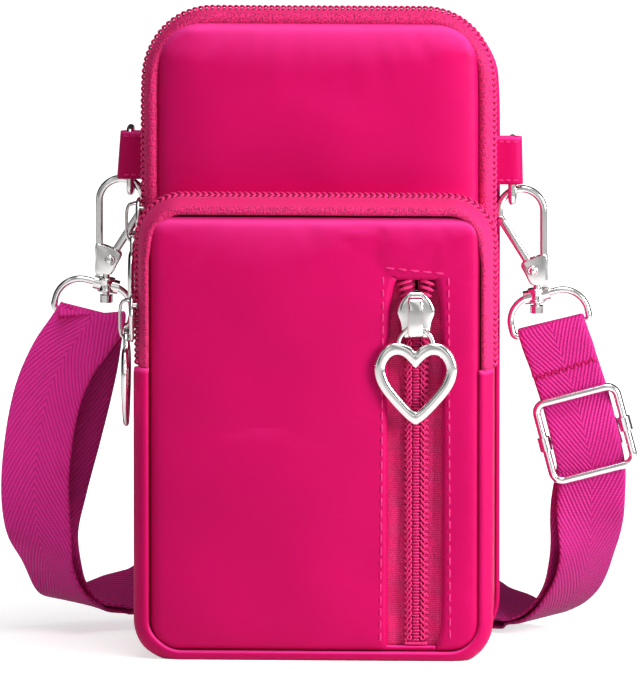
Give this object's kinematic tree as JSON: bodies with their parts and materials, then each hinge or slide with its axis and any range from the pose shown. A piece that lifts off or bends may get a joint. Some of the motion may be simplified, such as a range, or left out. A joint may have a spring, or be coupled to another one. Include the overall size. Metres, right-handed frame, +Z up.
{
  "type": "phone pouch",
  "caption": "Upright padded fabric pouch with zipped compartments, heart-shaped zip pulls and a clip-on webbing strap.",
  "frame": {"origin": "middle of the flat base", "axes": "+X along the width to the right seen from the front, +Y to the back, +Z up"},
  "size_m": [0.1861, 0.1071, 0.1899],
  "materials": {
    "shell_fabric": "satin woven nylon",
    "edge_tape": "ribbed binding tape",
    "zip_tape": "woven zip tape",
    "zip_coil": "satin nylon coil",
    "lining": "matt lining",
    "webbing": "herringbone webbing",
    "nickel": "polished nickel"
  },
  "bodies": {
    "pouch": {"back_panel": "shell_fabric", "back_piping": "edge_tape", "main_gusset": "shell_fabric", "main_front_panel": "shell_fabric", "main_lining": "lining", "main_zip_tape_front": "zip_tape", "main_zip_tape_rear": "zip_tape", "main_zip_coil_front": "zip_coil", "main_zip_coil_rear": "zip_coil", "pocket_gusset": "shell_fabric", "pocket_edge_roll": "edge_tape", "pocket_front_panel": "shell_fabric", "pocket_zip_tape_front": "zip_tape", "pocket_zip_tape_rear": "zip_tape", "pocket_zip_coil_front": "zip_coil", "pocket_zip_coil_rear": "zip_coil", "front_zip_tape_left": "zip_tape", "front_zip_tape_right": "zip_tape", "front_zip_coil_left": "zip_coil", "front_zip_coil_right": "zip_coil", "front_zip_bottom_stop": "nickel", "front_zip_top_stops": "nickel", "front_zip_bag": "lining", "tab_left": "shell_fabric", "tab_right": "shell_fabric", "strap_loop_left": "nickel", "strap_loop_right": "nickel", "adjuster_frame": "nickel", "adjuster_bar": "nickel", "strap_webbing": "webbing"},
    "front_slider": {"front_zip_slider": "nickel"},
    "front_pull": {"front_zip_pull": "nickel"},
    "pocket_slider": {"pocket_zip_slider": "nickel"},
    "pocket_pull": {"pocket_zip_pull": "nickel"},
    "main_slider": {"main_zip_slider": "nickel"},
    "main_pull": {"main_zip_pull": "nickel"},
    "ring_left": {"ring_left": "nickel"},
    "hook_left": {"hook_left": "nickel", "gate_rivet_left": "nickel", "gate_spring_left": "nickel", "swivel_stud_left": "nickel"},
    "gate_left": {"gate_left": "nickel"},
    "ring_right": {"ring_right": "nickel"},
    "hook_right": {"hook_right": "nickel", "gate_rivet_right": "nickel", "gate_spring_right": "nickel", "swivel_stud_right": "nickel"},
    "gate_right": {"gate_right": "nickel"}
  },
  "joints": [
    {"name": "front_zip_slide", "type": "slide", "parent": "pouch", "child": "front_slider", "axis": [0, 0, -1], "range_m": [-0.001, 0.085]},
    {"name": "pocket_zip_slide", "type": "slide", "parent": "pouch", "child": "pocket_slider", "axis": [0, 0, 1], "range_m": [-0.004, 0.012]},
    {"name": "main_zip_slide", "type": "slide", "parent": "pouch", "child": "main_slider", "axis": [0, 0, 1], "range_m": [0, 0.04]},
    {"name": "front_pull_swing", "type": "hinge", "parent": "front_slider", "child": "front_pull", "pos_m": [0.0295, -0.02695, 0.0986], "axis": [-1, 0, 0], "range_deg": [0, 140]},
    {"name": "pocket_pull_swing", "type": "hinge", "parent": "pocket_slider", "child": "pocket_pull", "pos_m": [-0.05535, -0.0178, 0.0964], "axis": [0, 1, 0], "range_deg": [0, 140]},
    {"name": "main_pull_swing", "type": "hinge", "parent": "main_slider", "child": "main_pull", "pos_m": [-0.05435, 0.0005, 0.1224], "axis": [0, 1, 0], "range_deg": [0, 140]},
    {"name": "ring_swing_left", "type": "hinge", "parent": "pouch", "child": "ring_left", "pos_m": [-0.056, 0.0154, 0.1436], "axis": [0, 0, 1], "range_deg": [-5, 5]},
    {"name": "hook_swivel_left", "type": "hinge", "parent": "pouch", "child": "hook_left", "pos_m": [-0.06322, 0.0192, 0.112], "axis": [0, 0, 1], "range_deg": [-5, 5]},
    {"name": "gate_open_left", "type": "hinge", "parent": "hook_left", "child": "gate_left", "pos_m": [-0.0621, 0.0192, 0.112], "axis": [0, -1, 0], "range_deg": [0, 25], "stiffness_Nm_per_rad": 0.02, "springref_deg": -11.46},
    {"name": "ring_swing_right", "type": "hinge", "parent": "pouch", "child": "ring_right", "pos_m": [0.056, 0.0154, 0.1412], "axis": [0, 0, 1], "range_deg": [-5, 5]},
    {"name": "hook_swivel_right", "type": "hinge", "parent": "pouch", "child": "hook_right", "pos_m": [0.06322, 0.0192, 0.1096], "axis": [0, 0, 1], "range_deg": [-5, 5]},
    {"name": "gate_open_right", "type": "hinge", "parent": "hook_right", "child": "gate_right", "pos_m": [0.0621, 0.0192, 0.1096], "axis": [0, 1, 0], "range_deg": [0, 25], "stiffness_Nm_per_rad": 0.02, "springref_deg": -11.46}
  ]
}
